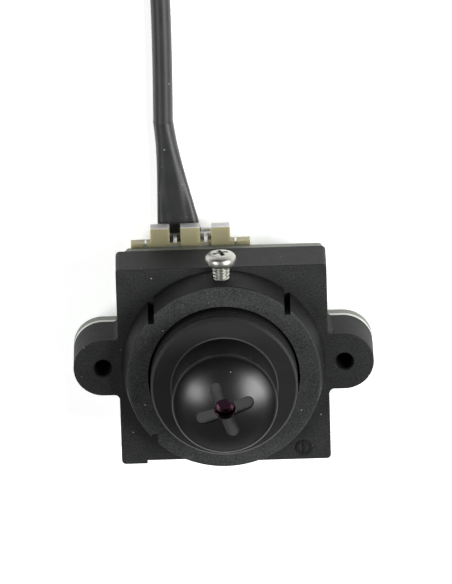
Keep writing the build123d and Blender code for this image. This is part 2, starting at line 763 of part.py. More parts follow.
tie_radius = coil_x + coil_turn_radius
tie_inner = 2 * (coil_half_width + 2 * coil_clearance)
with BuildPart() as coil_tie:
    with BuildSketch(Plane.XZ.offset(-coil_y - tie_width / 2)):
        with Locations((tie_radius, surface)):
            Rectangle(tie_inner + 2 * tie_thickness, coil_height + coil_clearance + 2 * tie_thickness,
                      align=(Align.CENTER, Align.MIN))
        with Locations((tie_radius, surface + tie_thickness)):
            Rectangle(tie_inner, coil_height + coil_clearance, align=(Align.CENTER, Align.MIN),
                      mode=Mode.SUBTRACT)
    extrude(amount=tie_width)
    with BuildSketch(Plane.XY.offset(surface + coil_height + coil_clearance + 2 * tie_thickness)):
        with Locations((tie_radius, coil_y)):
            Rectangle(tie_head_length, tie_width + 2 * tie_thickness)
    extrude(amount=tie_head_height)
finish(coil_tie.part, "coil_tie")

# tail from the coil down to the far plug
tail_x = lead[-1][0]
tail = [(tail_x + x, coil_y + y, coil_z + cable_diameter + rise) for x, y, rise in tail_points]
tail_tube, tail_runs = cord_tube(tail)
finish(tail_tube, "cable_tail")
tail_stop = Vector(*tail[-1])
far_wire_z = surface + plug_thickness / 2 + seat_gap
far_plug_plane = Plane(
    origin=(tail_stop.X - wire_middle, tail_stop.Y + tail_boot_length + plug_clearance, far_wire_z),
    x_dir=(1, 0, 0), z_dir=(0, -1, 0),
)
far_boot_start = Plane(
    origin=far_plug_plane.origin + far_plug_plane.x_dir * wire_middle + far_plug_plane.z_dir * plug_clearance,
    x_dir=far_plug_plane.x_dir, z_dir=far_plug_plane.z_dir,
)
far_boot_end = Plane(origin=tail_stop, x_dir=(1, 0, 0), z_dir=tail_runs[-1] * -1)
finish(heat_shrink(far_boot_start, far_boot_end, (far_boot_waist,)), "far_boot")
finish(plug_housing(far_plug_plane), "far_plug")
finish(crimp_terminals(far_plug_plane), "far_terminals")
finish(plug_wires(far_plug_plane, wire_reach), "far_wires")

# ---- Parts on the back of the board ----

chip_place = (0.10, -0.19)
crystal_place = (-0.70, 0.14, 90)
inductor_place = (0.71, 0.65, 0)
regulator_place = (0.71, 0.205, 0)
diode_place = (0.035, -0.80, 0)
capacitor_rows = (
    (-0.55, -0.17, 0), (-0.55, -0.41, 0), (-0.87, -0.19, 90), (0.41, -0.72, 90),
    (0.72, -0.39, 0), (0.72, -0.12, 90), (0.44, 0.53, 90),
)
resistor_rows = (
    (-0.55, -0.29, 0), (-0.74, -0.19, 90), (-0.38, -0.72, 90), (0.60, -0.39, 0),
    (0.87, -0.12, 90), (0.44, 0.39, 0), (0.44, 0.74, 90),
)
chip_x, chip_y = [share * board_edge for share in chip_place]
capacitor_x = board_edge - capacitor_inset
capacitor_places = ((-capacitor_x, -capacitor_x), (capacitor_x, -capacitor_x))

with BuildPart() as processor_chip:
    with BuildSketch(Plane.XY.offset(board_back - chip_lift)):
        with Locations((chip_x, chip_y)):
            Rectangle(chip_side, chip_side)
    extrude(amount=-chip_thickness)
    chamfer(processor_chip.edges().filter_by(Axis.Z), length=chip_lift)
finish(processor_chip.part, "processor_chip")

with BuildPart() as processor_pins:
    root, toe = chip_side / 2, chip_side / 2 + chip_pin_reach
    knee = root + chip_pin_reach / 2
    mid, thick = board_back - chip_lift - chip_thickness / 2, chip_pin_thickness
    with BuildSketch(Plane.XZ):
        with BuildLine():
            Polyline((root, mid), (knee, mid), (knee, board_back - thick), (toe, board_back - thick),
                     (toe, board_back), (knee - thick, board_back), (knee - thick, mid + thick),
                     (root, mid + thick), close=True)
        make_face()
    lead_pin = extrude(amount=chip_pin_width / 2, both=True, mode=Mode.PRIVATE)
    for side in range(4):
        for i in range(chip_pins_per_side):
            along = (i - (chip_pins_per_side - 1) / 2) * chip_pin_pitch
            add(Pos(chip_x, chip_y, 0) * Rot(0, 0, 90 * side) * Pos(0, along, 0) * lead_pin)
finish(processor_pins.part, "processor_pins")

with BuildPart() as capacitor_bases:
    with BuildSketch(Plane.XY.offset(board_back)):
        with Locations(*capacitor_places):
            Rectangle(capacitor_base_side, capacitor_base_side)
    extrude(amount=-capacitor_base_height)
finish(capacitor_bases.part, "capacitor_bases")

with BuildPart() as capacitor_cans:
    with BuildSketch(Plane.XY.offset(board_back - capacitor_base_height)):
        with Locations(*capacitor_places):
            Circle(capacitor_radius)
    extrude(amount=capacitor_base_height - header_height)
    fillet(capacitor_cans.edges().group_by(Axis.Z)[0], radius=chip_lift)
finish(capacitor_cans.part, "capacitor_cans")


def surface_mount(places, length, width, height, edge):
    """Blocks soldered to the back of the board; a place is two shares of its half side, and a turn."""
    with BuildPart() as block:
        with BuildSketch(Plane.XY.offset(board_back)):
            for x, y, turn in places:
                with Locations((x * board_edge, y * board_edge)):
                    Rectangle(length, width, rotation=turn)
        extrude(amount=-height)
        chamfer(block.edges().group_by(Axis.Z)[0], length=edge)
    return block.part


crystal = surface_mount([crystal_place], crystal_length, crystal_width, crystal_height, moulded_edge)
finish(crystal, "crystal_can")
inductor = surface_mount([inductor_place], inductor_side, inductor_side, inductor_height, ferrite_edge)
finish(inductor, "power_inductor")
regulator = surface_mount([regulator_place], regulator_length, regulator_width, regulator_height,
                          moulded_edge)
finish(regulator, "voltage_regulator")
diode = surface_mount([diode_place], diode_length, diode_width, diode_height, moulded_edge)
finish(diode, "protection_diode")
capacitors = surface_mount(capacitor_rows, small_part_length, small_part_width, capacitor_height, fine_edge)
finish(capacitors, "ceramic_capacitors")
resistors = surface_mount(resistor_rows, small_part_length, small_part_width, resistor_height, fine_edge)
finish(resistors, "chip_resistors")
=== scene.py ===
import bpy
import bmesh
from math import cos, pi, radians, sin
from mathutils import Matrix, Vector


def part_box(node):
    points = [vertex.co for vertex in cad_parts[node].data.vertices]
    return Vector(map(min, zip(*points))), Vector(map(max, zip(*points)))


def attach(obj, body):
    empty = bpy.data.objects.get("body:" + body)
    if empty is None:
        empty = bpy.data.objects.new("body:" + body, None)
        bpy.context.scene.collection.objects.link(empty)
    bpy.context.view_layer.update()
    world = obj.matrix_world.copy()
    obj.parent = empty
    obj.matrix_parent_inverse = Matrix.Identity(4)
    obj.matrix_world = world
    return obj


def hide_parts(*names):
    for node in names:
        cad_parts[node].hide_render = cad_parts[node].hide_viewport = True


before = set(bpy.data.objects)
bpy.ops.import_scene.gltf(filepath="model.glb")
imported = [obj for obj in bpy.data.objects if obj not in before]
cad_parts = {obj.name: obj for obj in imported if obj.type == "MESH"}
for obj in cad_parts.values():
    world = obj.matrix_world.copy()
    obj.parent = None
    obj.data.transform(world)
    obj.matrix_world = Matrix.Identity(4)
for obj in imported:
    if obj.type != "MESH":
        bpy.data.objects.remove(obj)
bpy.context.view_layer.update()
mm = 0.001

# ---- Camera, surface and light ----
# The block lies on its back on a pale bench that glows a little, seen from the plug's side and well above
# it, through a long lens. Two soft panels stand right and left of the camera; a weak one stands low beyond
# the plug, with its lower part under the bench.
view_tilt = radians(22.0)
view_roll = radians(1.7)
view_distance = 900 * mm
look_back = Vector((0, sin(view_tilt), cos(view_tilt)))
level_up = Vector((0, cos(view_tilt), -sin(view_tilt)))
look_right = Vector((1, 0, 0)) * cos(view_roll) - level_up * sin(view_roll)
look_up = Vector((1, 0, 0)) * sin(view_roll) + level_up * cos(view_roll)
aim_right = 0.26 * mm
aim_up = 8.47 * mm
aim = look_right * aim_right + look_up * aim_up

camera = bpy.data.objects.new("camera", bpy.data.cameras.new("camera"))
bpy.context.collection.objects.link(camera)
camera.data.lens = 478
camera.data.sensor_width = 36
camera.data.clip_start = 0.01
camera.matrix_world = Matrix.Translation(aim + look_back * view_distance) @ Matrix(
    (look_right, look_up, look_back)).transposed().to_4x4()
bpy.context.scene.camera = camera

surface = min(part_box(node)[0].z for node in ("header_housing", "capacitor_cans"))
bench_gap = 0.02 * mm
bench_half = 1.5
floor_mesh = bmesh.new()
bmesh.ops.create_grid(floor_mesh, x_segments=1, y_segments=1, size=bench_half)
bmesh.ops.translate(floor_mesh, vec=(0, 0, surface - bench_gap), verts=floor_mesh.verts)
floor = bpy.data.objects.new("bench", bpy.data.meshes.new("bench"))
floor_mesh.to_mesh(floor.data)
floor_mesh.free()
bpy.context.collection.objects.link(floor)
bench_paint = bpy.data.materials.new("bench_paint")
bench_paint.use_nodes = True
bench_shade = bench_paint.node_tree.nodes["Principled BSDF"]
bench_shade.inputs["Base Color"].default_value = (0.93, 0.93, 0.93, 1)
bench_shade.inputs["Roughness"].default_value = 0.7
bench_shade.inputs["Emission Color"].default_value = (1, 1, 1, 1)
bench_shade.inputs["Emission Strength"].default_value = 0.50
floor.data.materials.append(bench_paint)

room = bpy.data.worlds.new("room")
room.use_nodes = True
room.node_tree.nodes["Background"].inputs["Color"].default_value = (1, 1, 1, 1)
room.node_tree.nodes["Background"].inputs["Strength"].default_value = 0.10
bpy.context.scene.world = room
bpy.context.scene.view_settings.view_transform = "Standard"


def soft_panel(name, right, up, back, distance, width, height, watts):
    """A soft rectangular light, placed in the camera's own directions and turned to face the block."""
    toward = (look_right * right + look_up * up + look_back * back).normalized()
    data = bpy.data.lights.new(name, "AREA")
    data.shape = "RECTANGLE"
    data.size = width
    data.size_y = height
    data.energy = watts
    panel = bpy.data.objects.new(name, data)
    bpy.context.collection.objects.link(panel)
    facing = toward.to_track_quat("Z", "Y").to_matrix().to_4x4()
    panel.matrix_world = Matrix.Translation(toward * distance) @ facing


soft_panel("right_panel", 0.700, -0.160, 0.690, 0.40, 0.24, 0.24, 2.2)
soft_panel("left_panel", -0.620, -0.260, 0.740, 0.40, 0.15, 0.15, 0.85)
soft_panel("far_panel", 0.35, 0.90, 0.25, 0.60, 0.35, 0.30, 0.10)

# ---- Surfaces every piece shares ----
# Moulded, machined and coated parts all vary a little in shade and gloss and have a fine grain;
# some carry pale dust. This one group supplies all of that to every finish.
skin = bpy.data.node_groups.new("real_surface", "ShaderNodeTree")
for label, kind, value in (
    ("Colour", "NodeSocketColor", (0.5, 0.5, 0.5, 1)), ("Tone", "NodeSocketFloat", 0.15),
    ("Tone size", "NodeSocketFloat", 300.0), ("Gloss", "NodeSocketFloat", 0.5),
    ("Gloss spread", "NodeSocketFloat", 0.1), ("Grain size", "NodeSocketFloat", 9000.0),
    ("Grain height", "NodeSocketFloat", 0.000004), ("Speckle", "NodeSocketFloat", 0.0),
    ("Dust", "NodeSocketFloat", 0.0),
):
    socket = skin.interface.new_socket(label, in_out="INPUT", socket_type=kind)
    socket.default_value = value
for label, kind in (
    ("Colour", "NodeSocketColor"), ("Gloss", "NodeSocketFloat"), ("Normal", "NodeSocketVector"),
):
    skin.interface.new_socket(label, in_out="OUTPUT", socket_type=kind)


def node_in(tree, kind, **settings):
    """Adds a node and sets its properties; settings named after an input go on that input's socket."""
    node = tree.nodes.new(kind)
    for key, value in settings.items():
        name = key.replace("_", " ")
        if hasattr(node, key) and key not in ("Scale", "Detail"):
            setattr(node, key, value)
        else:
            node.inputs[name].default_value = value
    return node


inside = node_in(skin, "NodeGroupInput")
outside = node_in(skin, "NodeGroupOutput")
where = node_in(skin, "ShaderNodeTexCoord")
broad = node_in(skin, "ShaderNodeTexNoise", Detail=5.0, Roughness=0.6)
skin.links.new(where.outputs["Object"], broad.inputs["Vector"])
skin.links.new(inside.outputs["Tone size"], broad.inputs["Scale"])
offset = node_in(skin, "ShaderNodeMath", operation="SUBTRACT")
offset.inputs[1].default_value = 0.5
skin.links.new(broad.outputs["Fac"], offset.inputs[0])
swing = node_in(skin, "ShaderNodeMath", operation="MULTIPLY")
skin.links.new(offset.outputs[0], swing.inputs[0])
skin.links.new(inside.outputs["Tone"], swing.inputs[1])
fine = node_in(skin, "ShaderNodeTexNoise", Detail=4.0, Roughness=0.55)
skin.links.new(where.outputs["Object"], fine.inputs["Vector"])
skin.links.new(inside.outputs["Grain size"], fine.inputs["Scale"])
fine_offset = node_in(skin, "ShaderNodeMath", operation="SUBTRACT")
fine_offset.inputs[1].default_value = 0.5
skin.links.new(fine.outputs["Fac"], fine_offset.inputs[0])
speckle = node_in(skin, "ShaderNodeMath", operation="MULTIPLY_ADD")
skin.links.new(fine_offset.outputs[0], speckle.inputs[0])
skin.links.new(inside.outputs["Speckle"], speckle.inputs[1])
skin.links.new(swing.outputs[0], speckle.inputs[2])
level = node_in(skin, "ShaderNodeMath", operation="MULTIPLY_ADD")
level.inputs[1].default_value = 3.0
level.inputs[2].default_value = 1.0
skin.links.new(speckle.outputs[0], level.inputs[0])
shaded = node_in(skin, "ShaderNodeHueSaturation")
skin.links.new(inside.outputs["Colour"], shaded.inputs["Color"])
skin.links.new(level.outputs[0], shaded.inputs["Value"])
gloss_swing = node_in(skin, "ShaderNodeMath", operation="MULTIPLY")
skin.links.new(offset.outputs[0], gloss_swing.inputs[0])
skin.links.new(inside.outputs["Gloss spread"], gloss_swing.inputs[1])
gloss_level = node_in(skin, "ShaderNodeMath", operation="ADD", use_clamp=True)
skin.links.new(gloss_swing.outputs[0], gloss_level.inputs[0])
skin.links.new(inside.outputs["Gloss"], gloss_level.inputs[1])
relief = node_in(skin, "ShaderNodeBump")
skin.links.new(fine.outputs["Fac"], relief.inputs["Height"])
skin.links.new(inside.outputs["Grain height"], relief.inputs["Distance"])
specks = node_in(skin, "ShaderNodeTexVoronoi", Scale=2600.0)
skin.links.new(where.outputs["Object"], specks.inputs["Vector"])
near = node_in(skin, "ShaderNodeMath", operation="LESS_THAN")
skin.links.new(specks.outputs["Distance"], near.inputs[0])
pick = node_in(skin, "ShaderNodeSeparateColor")
skin.links.new(specks.outputs["Color"], pick.inputs[0])
speck_size = node_in(skin, "ShaderNodeMath", operation="MULTIPLY_ADD")
speck_size.inputs[1].default_value = 0.22
speck_size.inputs[2].default_value = 0.06
skin.links.new(pick.outputs[1], speck_size.inputs[0])
skin.links.new(speck_size.outputs[0], near.inputs[1])
rare = node_in(skin, "ShaderNodeMath", operation="LESS_THAN")
skin.links.new(pick.outputs[0], rare.inputs[0])
skin.links.new(inside.outputs["Dust"], rare.inputs[1])
dusty = node_in(skin, "ShaderNodeMath", operation="MULTIPLY")
skin.links.new(near.outputs[0], dusty.inputs[0])
skin.links.new(rare.outputs[0], dusty.inputs[1])
soften = node_in(skin, "ShaderNodeMath", operation="MULTIPLY")
soften.inputs[1].default_value = 0.35
skin.links.new(dusty.outputs[0], soften.inputs[0])
powder = node_in(skin, "ShaderNodeMix", data_type="RGBA")
powder.inputs[7].default_value = (0.55, 0.55, 0.54, 1)
skin.links.new(soften.outputs[0], powder.inputs[0])
skin.links.new(shaded.outputs["Color"], powder.inputs[6])
skin.links.new(powder.outputs[2], outside.inputs["Colour"])
skin.links.new(gloss_level.outputs[0], outside.inputs["Gloss"])
skin.links.new(relief.outputs["Normal"], outside.inputs["Normal"])


def surface_of(name, colour, gloss, tone=0.15, tone_size=300.0, gloss_spread=0.15, grain_size=9000.0,
               grain=0.004, speckle=0.0, dust=0.0, **shader):
    """A finish on the shared group; grain is in millimetres, other words go on the shader's own sockets."""
    finish = bpy.data.materials.new(name)
    finish.use_nodes = True
    tree = finish.node_tree
    shade = tree.nodes["Principled BSDF"]
    group = tree.nodes.new("ShaderNodeGroup")
    group.node_tree = skin
    group.inputs["Colour"].default_value = (*colour, 1)
    group.inputs["Tone"].default_value = tone
    group.inputs["Tone size"].default_value = tone_size
    group.inputs["Gloss"].default_value = gloss
    group.inputs["Gloss spread"].default_value = gloss_spread
    group.inputs["Grain size"].default_value = grain_size
    group.inputs["Grain height"].default_value = grain * mm
    group.inputs["Speckle"].default_value = speckle
    group.inputs["Dust"].default_value = dust
    tree.links.new(group.outputs["Colour"], shade.inputs["Base Color"])
    tree.links.new(group.outputs["Gloss"], shade.inputs["Roughness"])
    tree.links.new(group.outputs["Normal"], shade.inputs["Normal"])
    for key, value in shader.items():
        shade.inputs[key.replace("_", " ")].default_value = value
    return finish


def dress(finish, *nodes):
    """Gives CAD nodes a finish in place of their plain colour."""
    for node in nodes:
        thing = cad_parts[node]
        if not thing.data.materials:
            thing.data.materials.append(finish)
        for i in range(len(thing.material_slots)):
            thing.material_slots[i].link = "OBJECT"
            thing.material_slots[i].material = finish


# ---- Cable ----
# Round black sleeved cable about 2.3 mm thick: it leaves the boot, lies along the bench, is put away in
# three tied turns of which one lies on top, and drops back to the bench at its far plug.
sleeve = surface_of("cable_sleeve", (0.022, 0.022, 0.023), 0.42, tone=0.2, tone_size=400.0, grain=0.006,
                    grain_size=5000.0, dust=0.02)
cable_radius = 1.15
bench_clearance = 0.02
coil_rise = 0.33
cable_level = surface / mm + cable_radius + bench_clearance
coil_level = cable_level + coil_rise
coil_turn = 14.2
coil_inner_turn = 11.9
coil_centre = (7.7, 58.6)
points_per_turn = 16
inward = 0.75 + 0.25 * cos(2 * pi / points_per_turn)
route = [(-6.2, 26.5, cable_level), (-6.0, 35.5, cable_level), (-6.15, 47.1, cable_level + 0.08)]
for step in range(3 * points_per_turn + 1):
    turn = step / points_per_turn
    across = coil_turn
    if turn > 0.85:
        across = coil_turn - (coil_turn - coil_inner_turn) * min(1, (turn - 0.85) / 0.15)
    if turn > 1.8:
        across = coil_inner_turn + (coil_turn - coil_inner_turn) * min(1, turn - 1.8)
    climb = 2 * cable_radius * min(1, max(0, (turn - 1.5) / 0.3))
    angle = pi - 2 * pi * turn
    pull = across / inward
    route.append((coil_centre[0] + pull * cos(angle), coil_centre[1] + pull * sin(angle), coil_level + climb))
for x, y, rise in ((-0.1, 6.0, 0.0), (-0.5, 9.4, -1.3), (-0.8, 12.7, -2.4), (-0.85, 15.7, -2.55)):
    route.append((route[3][0] + x, coil_centre[1] + y, coil_level + 2 * cable_radius + rise))
line = bpy.data.curves.new("cable_line", "CURVE")
line.dimensions = "3D"
line.bevel_depth = cable_radius * mm
line.bevel_resolution = 8
line.resolution_u = 6
line.use_fill_caps = True
spline = line.splines.new("NURBS")
spline.points.add(len(route) - 1)
for point, (x, y, z) in zip(spline.points, route):
    point.co = (x * mm, y * mm, z * mm, 1)
spline.order_u = 3
spline.use_endpoint_u = True
line.materials.append(sleeve)
cable = bpy.data.objects.new("cable_line", line)
bpy.context.collection.objects.link(cable)
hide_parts("cable", "cable_coil", "cable_tail")
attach(cable, "lead")

# ---- Lens holder ----
# Black moulded holder with two ears and a boss. Its faces carry a fine grain; the boss's flat top is painted
# paler than the face, and painted shade darkens the boss's drafted side and the block's own sides.
holder_black = surface_of("holder_black", (0.0175, 0.018, 0.0182), 0.64, tone=0.3, tone_size=500.0,
                          grain=0.012, grain_size=5200.0, speckle=1.0, dust=0.018, Specular_IOR_Level=0.2)


def patch_mask(tree, low, high):
    """A mask that is 1 inside a box, in millimetres."""
    place = node_in(tree, "ShaderNodeTexCoord")
    part = node_in(tree, "ShaderNodeSeparateXYZ")
    tree.links.new(place.outputs["Object"], part.inputs[0])
    running = None
    for axis in range(3):
        for limit, side in ((low[axis], "GREATER_THAN"), (high[axis], "LESS_THAN")):
            test = node_in(tree, "ShaderNodeMath", operation=side)
            test.inputs[1].default_value = limit * mm
            tree.links.new(part.outputs[axis], test.inputs[0])
            if running is not None:
                joined = node_in(tree, "ShaderNodeMath", operation="MULTIPLY")
                tree.links.new(running, joined.inputs[0])
                tree.links.new(test.outputs[0], joined.inputs[1])
                running = joined.outputs[0]
            else:
                running = test.outputs[0]
    return running


def paint_light_and_shade(finish, mask, factor):
    """Where the mask is 1, the finish is painted lighter or darker by a factor, as painted light and shade.
    """
    tree = finish.node_tree
    shade = tree.nodes["Principled BSDF"]
    amount = node_in(tree, "ShaderNodeMath", operation="MULTIPLY_ADD")
    amount.inputs[1].default_value = factor - 1
    amount.inputs[2].default_value = 1
    tree.links.new(mask, amount.inputs[0])
    lifted = node_in(tree, "ShaderNodeHueSaturation")
    tree.links.new(shade.inputs["Base Color"].links[0].from_socket, lifted.inputs["Color"])
    tree.links.new(amount.outputs[0], lifted.inputs["Value"])
    tree.links.new(lifted.outputs[0], shade.inputs["Base Color"])


holder_tree = holder_black.node_tree
boss_top = 3.62
boss_foot = 0.06
block_back = -5.8
past_boss = 13
past_ears = 20
# painted light and shade: the boss top is painted paler, the boss's drafted side and the block's sides
# painted darker
for low, high, factor in (
    ((-past_boss, -past_boss, boss_top), (past_boss, past_boss, 4), 1.65),
    ((-past_boss, -past_boss, boss_foot), (past_boss, past_boss, boss_top), 0.45),
    ((-past_ears, -past_ears, block_back), (past_ears, past_ears, -boss_foot), 0.5),
):
    paint_light_and_shade(holder_black, patch_mask(holder_tree, low, high), factor)
dress(holder_black, "lens_holder")

# ---- Focus ring ----
# The black ring that screws into the holder, smoother than the block. A narrow band where the false screw
# head seats in it is painted paler and shinier: a painted highlight along that edge.
ring_black = surface_of("ring_black", (0.012, 0.0122, 0.0128), 0.50, tone=0.15, grain=0.0008,
                        gloss_spread=0.1, Specular_IOR_Level=0.35)
dress(ring_black, "focus_ring")


def from_axis(tree, place):
    """How far each point is from the lens axis."""
    level_place = node_in(tree, "ShaderNodeVectorMath", operation="MULTIPLY")
    level_place.inputs[1].default_value = (1, 1, 0)
    tree.links.new(place.outputs["Object"], level_place.inputs[0])
    reach = node_in(tree, "ShaderNodeVectorMath", operation="LENGTH")
    tree.links.new(level_place.outputs[0], reach.inputs[0])
    return reach.outputs["Value"]


def ring_mask(tree, inner, outer, flat=0.0):
    """A mask that is 1 between two distances from the lens axis, in millimetres, on faces that look up."""
    place = node_in(tree, "ShaderNodeTexCoord")
    reach = from_axis(tree, place)
    past = node_in(tree, "ShaderNodeMath", operation="GREATER_THAN")
    past.inputs[1].default_value = inner * mm
    short = node_in(tree, "ShaderNodeMath", operation="LESS_THAN")
    short.inputs[1].default_value = outer * mm
    facing = node_in(tree, "ShaderNodeSeparateXYZ")
    tree.links.new(place.outputs["Normal"], facing.inputs[0])
    up = node_in(tree, "ShaderNodeMath", operation="GREATER_THAN")
    up.inputs[1].default_value = flat
    tree.links.new(facing.outputs[2], up.inputs[0])
    band = node_in(tree, "ShaderNodeMath", operation="MULTIPLY")
    both = node_in(tree, "ShaderNodeMath", operation="MULTIPLY")
    for one in (past, short):
        tree.links.new(reach, one.inputs[0])
    tree.links.new(past.outputs[0], band.inputs[0])
    tree.links.new(short.outputs[0], band.inputs[1])
    tree.links.new(band.outputs[0], both.inputs[0])
    tree.links.new(up.outputs[0], both.inputs[1])
    return both.outputs[0]


def tint(finish, mask, colour, gloss):
    """Where the mask is 1, the finish takes another colour and gloss."""
    tree = finish.node_tree
    shade = tree.nodes["Principled BSDF"]
    for name, value, kind, ins in (
        ("Base Color", (*colour, 1), "RGBA", (6, 7, 2)), ("Roughness", gloss, "FLOAT", (2, 3, 0)),
    ):
        blend = node_in(tree, "ShaderNodeMix", data_type=kind)
        source = shade.inputs[name].links[0].from_socket
        tree.links.new(mask, blend.inputs[0])
        tree.links.new(source, blend.inputs[ins[0]])
        blend.inputs[ins[1]].default_value = value
        tree.links.new(blend.outputs[ins[2]], shade.inputs[name])


seat_highlight_inner = 6.05
seat_highlight_outer = 6.24
# painted highlight: the seat band is painted paler than the rest of the ring
tint(ring_black, ring_mask(ring_black.node_tree, seat_highlight_inner, seat_highlight_outer), (0.07, 0.07, 0.07), 0.35)

# ---- False screw head ----
# A glossier black cap made to look like a large cross-head screw. The floor of its recess is rougher and
# paler than the dome, and the dome's shine fades towards its rim.
head_black = surface_of("head_black", (0.0045, 0.0046, 0.0048), 0.34, tone=0.1, grain=0.0012,
                        grain_size=7000.0, gloss_spread=0.1, dust=0.006)
recess_inner = 1.26
recess_outer = 3.7
recess_flat = 0.997
recess_floor = ring_mask(head_black.node_tree, recess_inner, recess_outer, recess_flat)
tint(head_black, recess_floor, (0.024, 0.024, 0.025), 0.55)
head_tree = head_black.node_tree
fade_start = 4.6 * mm
fade_end = 5.7 * mm
rim = node_in(head_tree, "ShaderNodeMapRange")
for name, value in (("From Min", fade_start), ("From Max", fade_end), ("To Min", 0.5), ("To Max", 0.10)):
    rim.inputs[name].default_value = value
head_tree.links.new(from_axis(head_tree, node_in(head_tree, "ShaderNodeTexCoord")), rim.inputs["Value"])
head_tree.links.new(rim.outputs[0], head_tree.nodes["Principled BSDF"].inputs["Specular IOR Level"])
dress(head_black, "screw_head_cap")

# ---- Lens and sensor parts ----
# Coated glass, an infrared filter, blackened cells and rings, and the sensor's ceramic package and chip, all
# behind the pinhole. A soft black seal keeps stray light out between holder and board.
lens_glass = surface_of("lens_glass", (0.26, 0.16, 0.18), 0.02, tone=0.02, gloss_spread=0.0, grain=0.0,
                        Transmission_Weight=1.0, IOR=1.62, Thin_Film_Thickness=420.0, Thin_Film_IOR=1.9)
dress(lens_glass, "front_lens", "middle_lens", "rear_lens")
clear_glass = surface_of("clear_glass", (0.9, 0.93, 0.93), 0.02, tone=0.02, gloss_spread=0.0, grain=0.0,
                         Transmission_Weight=1.0, IOR=1.5)
dress(clear_glass, "sensor_cover_glass")
filter_glass = surface_of("filter_glass", (0.45, 0.78, 0.85), 0.03, tone=0.02, gloss_spread=0.0, grain=0.0,
                          Transmission_Weight=1.0, IOR=1.52)
dress(filter_glass, "infrared_filter")
anodised = surface_of("black_anodised", (0.02, 0.02, 0.022), 0.4, tone=0.1, grain=0.002, Metallic=0.6)
dress(anodised, "lens_cell", "aperture_stop", "cell_ring_nut", "tail_ring_nut")
ceramic = surface_of("sensor_ceramic", (0.55, 0.53, 0.49), 0.6)
dress(ceramic, "sensor_package")
silicon = surface_of("silicon", (0.20, 0.16, 0.26), 0.12, Metallic=0.9)
dress(silicon, "sensor_die")
foam = surface_of("seal_foam", (0.015, 0.015, 0.015), 0.9, grain=0.05, grain_size=4000.0)
dress(foam, "foam_light_seal")

# ---- Board and its shim ----
# Glass laminate, grey-green where it is sawn, under a green mask with copper showing as paler tracks. A pale
# plastic shim lies between it and the holder.
shim_white = surface_of("shim_white", (0.62, 0.64, 0.60), 0.45)
dress(shim_white, "board_shim")
laminate = surface_of("board_laminate", (0.18, 0.195, 0.165), 0.6, tone=0.2, speckle=0.4, grain=0.006)
board_tree = laminate.node_tree
board_place = node_in(board_tree, "ShaderNodeTexCoord")
board_facing = node_in(board_tree, "ShaderNodeSeparateXYZ")
board_tree.links.new(board_place.outputs["Normal"], board_facing.inputs[0])
board_flat = node_in(board_tree, "ShaderNodeMath", operation="ABSOLUTE")
board_tree.links.new(board_facing.outputs[2], board_flat.inputs[0])
masked = node_in(board_tree, "ShaderNodeMath", operation="GREATER_THAN")
masked.inputs[1].default_value = 0.9
board_tree.links.new(board_flat.outputs[0], masked.inputs[0])
tracks = node_in(board_tree, "ShaderNodeTexVoronoi", feature="DISTANCE_TO_EDGE", Scale=420.0)
board_tree.links.new(board_place.outputs["Object"], tracks.inputs["Vector"])
track_line = node_in(board_tree, "ShaderNodeMath", operation="LESS_THAN")
track_line.inputs[1].default_value = 0.075
board_tree.links.new(tracks.outputs["Distance"], track_line.inputs[0])
green = node_in(board_tree, "ShaderNodeMix", data_type="RGBA")
green.inputs[6].default_value = (0.012, 0.075, 0.035, 1)
green.inputs[7].default_value = (0.030, 0.140, 0.060, 1)
board_tree.links.new(track_line.outputs[0], green.inputs[0])
board_shade = board_tree.nodes["Principled BSDF"]
board_colour = node_in(board_tree, "ShaderNodeMix", data_type="RGBA")
board_tree.links.new(masked.outputs[0], board_colour.inputs[0])
board_tree.links.new(board_shade.inputs["Base Color"].links[0].from_socket, board_colour.inputs[6])
board_tree.links.new(green.outputs[2], board_colour.inputs[7])
board_tree.links.new(board_colour.outputs[2], board_shade.inputs["Base Color"])
board_gloss = node_in(board_tree, "ShaderNodeMix", data_type="FLOAT")
board_gloss.inputs[3].default_value = 0.28
board_tree.links.new(masked.outputs[0], board_gloss.inputs[0])
board_tree.links.new(board_shade.inputs["Roughness"].links[0].from_socket, board_gloss.inputs[2])
board_tree.links.new(board_gloss.outputs[0], board_shade.inputs["Roughness"])
dress(laminate, "circuit_board")

# ---- Header and plugs ----
# Beige nylon header soldered to the board's back, with pale patches near its two key slots and its mouth end
# painted pale as painted light. The plugs are a whiter nylon, and the contacts are tinned.
nylon = surface_of("header_nylon", (0.285, 0.265, 0.155), 0.42, tone=0.08, dust=0.02, Subsurface_Weight=0.8,
                   Subsurface_Scale=0.0015, Subsurface_Radius=(1.0, 0.95, 0.8))
dress(nylon, "header_housing")
header_low, header_high = (Vector(c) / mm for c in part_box("header_housing"))
header_middle = (header_low.x + header_high.x) / 2
key_slot_offset = 1.78
latch_half = 0.66
latch_back = header_high.y - 3.4
latch_front = header_high.y - 2.25
mouth_skin = 0.06
below_board = -20
for side in (-1, 1):
    slot_x = header_middle + side * key_slot_offset
    latch = patch_mask(nylon.node_tree, (slot_x - latch_half, latch_back, below_board),
                       (slot_x + latch_half, latch_front, 0))
    tint(nylon, latch, (0.36, 0.36, 0.345), 0.4)
# painted light: the header's mouth end is painted pale, as if lit
past_header = 50
mouth = patch_mask(nylon.node_tree, (-past_header, header_high.y - mouth_skin, below_board),
                   (past_header, header_high.y + 1, 0))
tint(nylon, mouth, (0.42, 0.42, 0.425), 0.4)
plug_nylon = surface_of("plug_nylon", (0.60, 0.59, 0.57), 0.40, tone=0.08, dust=0.02, Subsurface_Weight=0.8,
                        Subsurface_Scale=0.0015, Subsurface_Radius=(1.0, 0.95, 0.8))
dress(plug_nylon, "plug_housing", "far_plug")
tin = surface_of("tin_plate", (0.68, 0.68, 0.68), 0.3, Metallic=1.0)
dress(tin, "header_pins", "fitting_nails", "crimp_terminals", "far_terminals", "processor_pins",
      "crystal_can")

